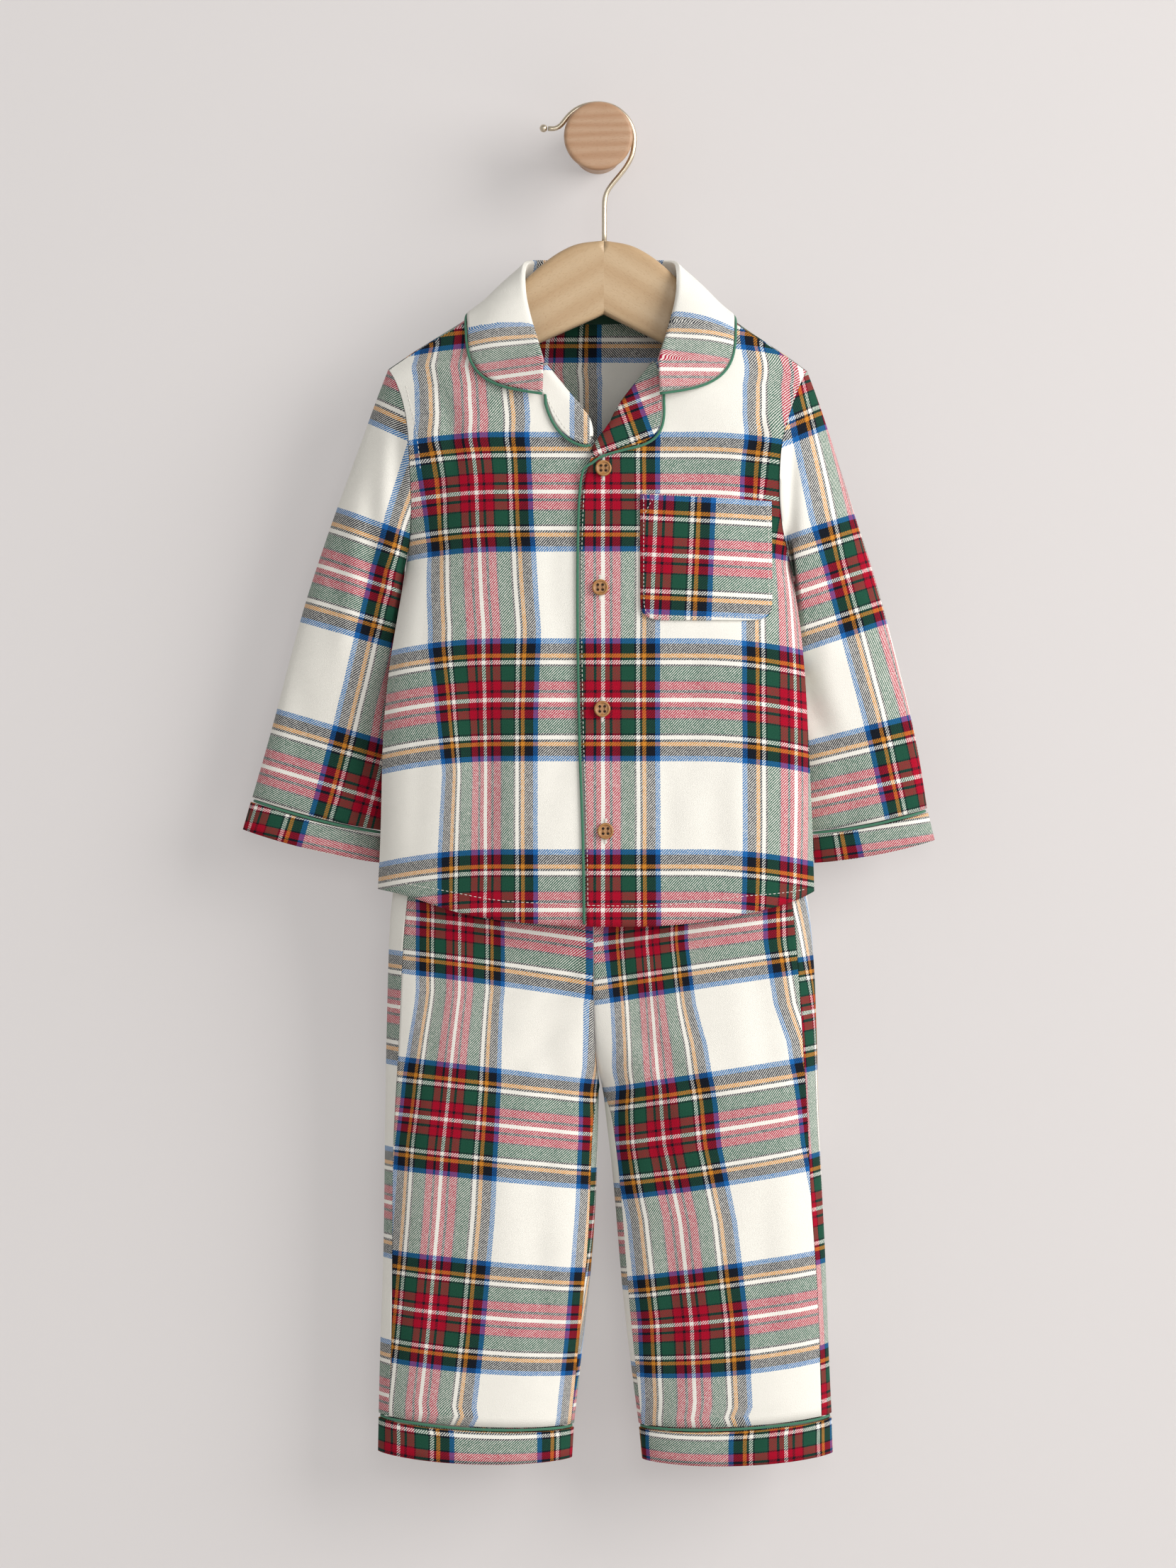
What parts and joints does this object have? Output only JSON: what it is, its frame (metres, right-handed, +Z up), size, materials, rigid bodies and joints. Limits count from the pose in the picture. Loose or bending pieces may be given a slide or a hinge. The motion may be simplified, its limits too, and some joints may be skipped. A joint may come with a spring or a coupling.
{
  "type": "child's pyjama set on a wooden hanger hung from a wall knob",
  "caption": "Child's button-front pyjama shirt with notched collar and chest pocket over straight trousers, hanging on a wooden hanger from a round wall knob.",
  "frame": {"origin": "centre of the wall knob's flat back, on the wall plane", "axes": "+X to the viewer's right, +Y into the wall, +Z up; the garments hang below the origin and in front of the wall"},
  "size_m": [0.4307, 0.1002, 0.8454],
  "materials": {
    "tartan_cloth": "brushed cotton twill, tartan on cream",
    "band_cloth": "the same tartan, cut along its dark bands",
    "piping": "plain green cotton piping",
    "tape": "dark green cotton tape",
    "button": "brown, marbled, satin",
    "beech": "clear lacquered",
    "hook_metal": "satin plated wire",
    "pine": "sanded, lightly oiled"
  },
  "bodies": {
    "root": {"back": "tartan_cloth", "back_leg_left": "tartan_cloth", "back_leg_right": "tartan_cloth", "button_1": "button", "button_2": "button", "button_3": "button", "button_4": "button", "chest_pocket": "tartan_cloth", "collar": "tartan_cloth", "collar_piping": "piping", "front_left": "tartan_cloth", "front_leg_left": "tartan_cloth", "front_leg_right": "tartan_cloth", "front_piping": "piping", "front_right": "tartan_cloth", "hanger_left": "beech", "hanger_right": "beech", "hook": "hook_metal", "hook_ball": "hook_metal", "lapel_left": "tartan_cloth", "lapel_piping": "piping", "lapel_right": "tartan_cloth", "leg_band_left": "band_cloth", "leg_band_right": "band_cloth", "leg_piping_left": "piping", "leg_piping_right": "piping", "neck_tape": "tape", "sleeve_band_left": "band_cloth", "sleeve_band_right": "band_cloth", "sleeve_left": "tartan_cloth", "sleeve_piping_left": "piping", "sleeve_piping_right": "piping", "sleeve_right": "tartan_cloth", "waistband": "tartan_cloth", "wall_knob": "pine"}
  },
  "joints": []
}
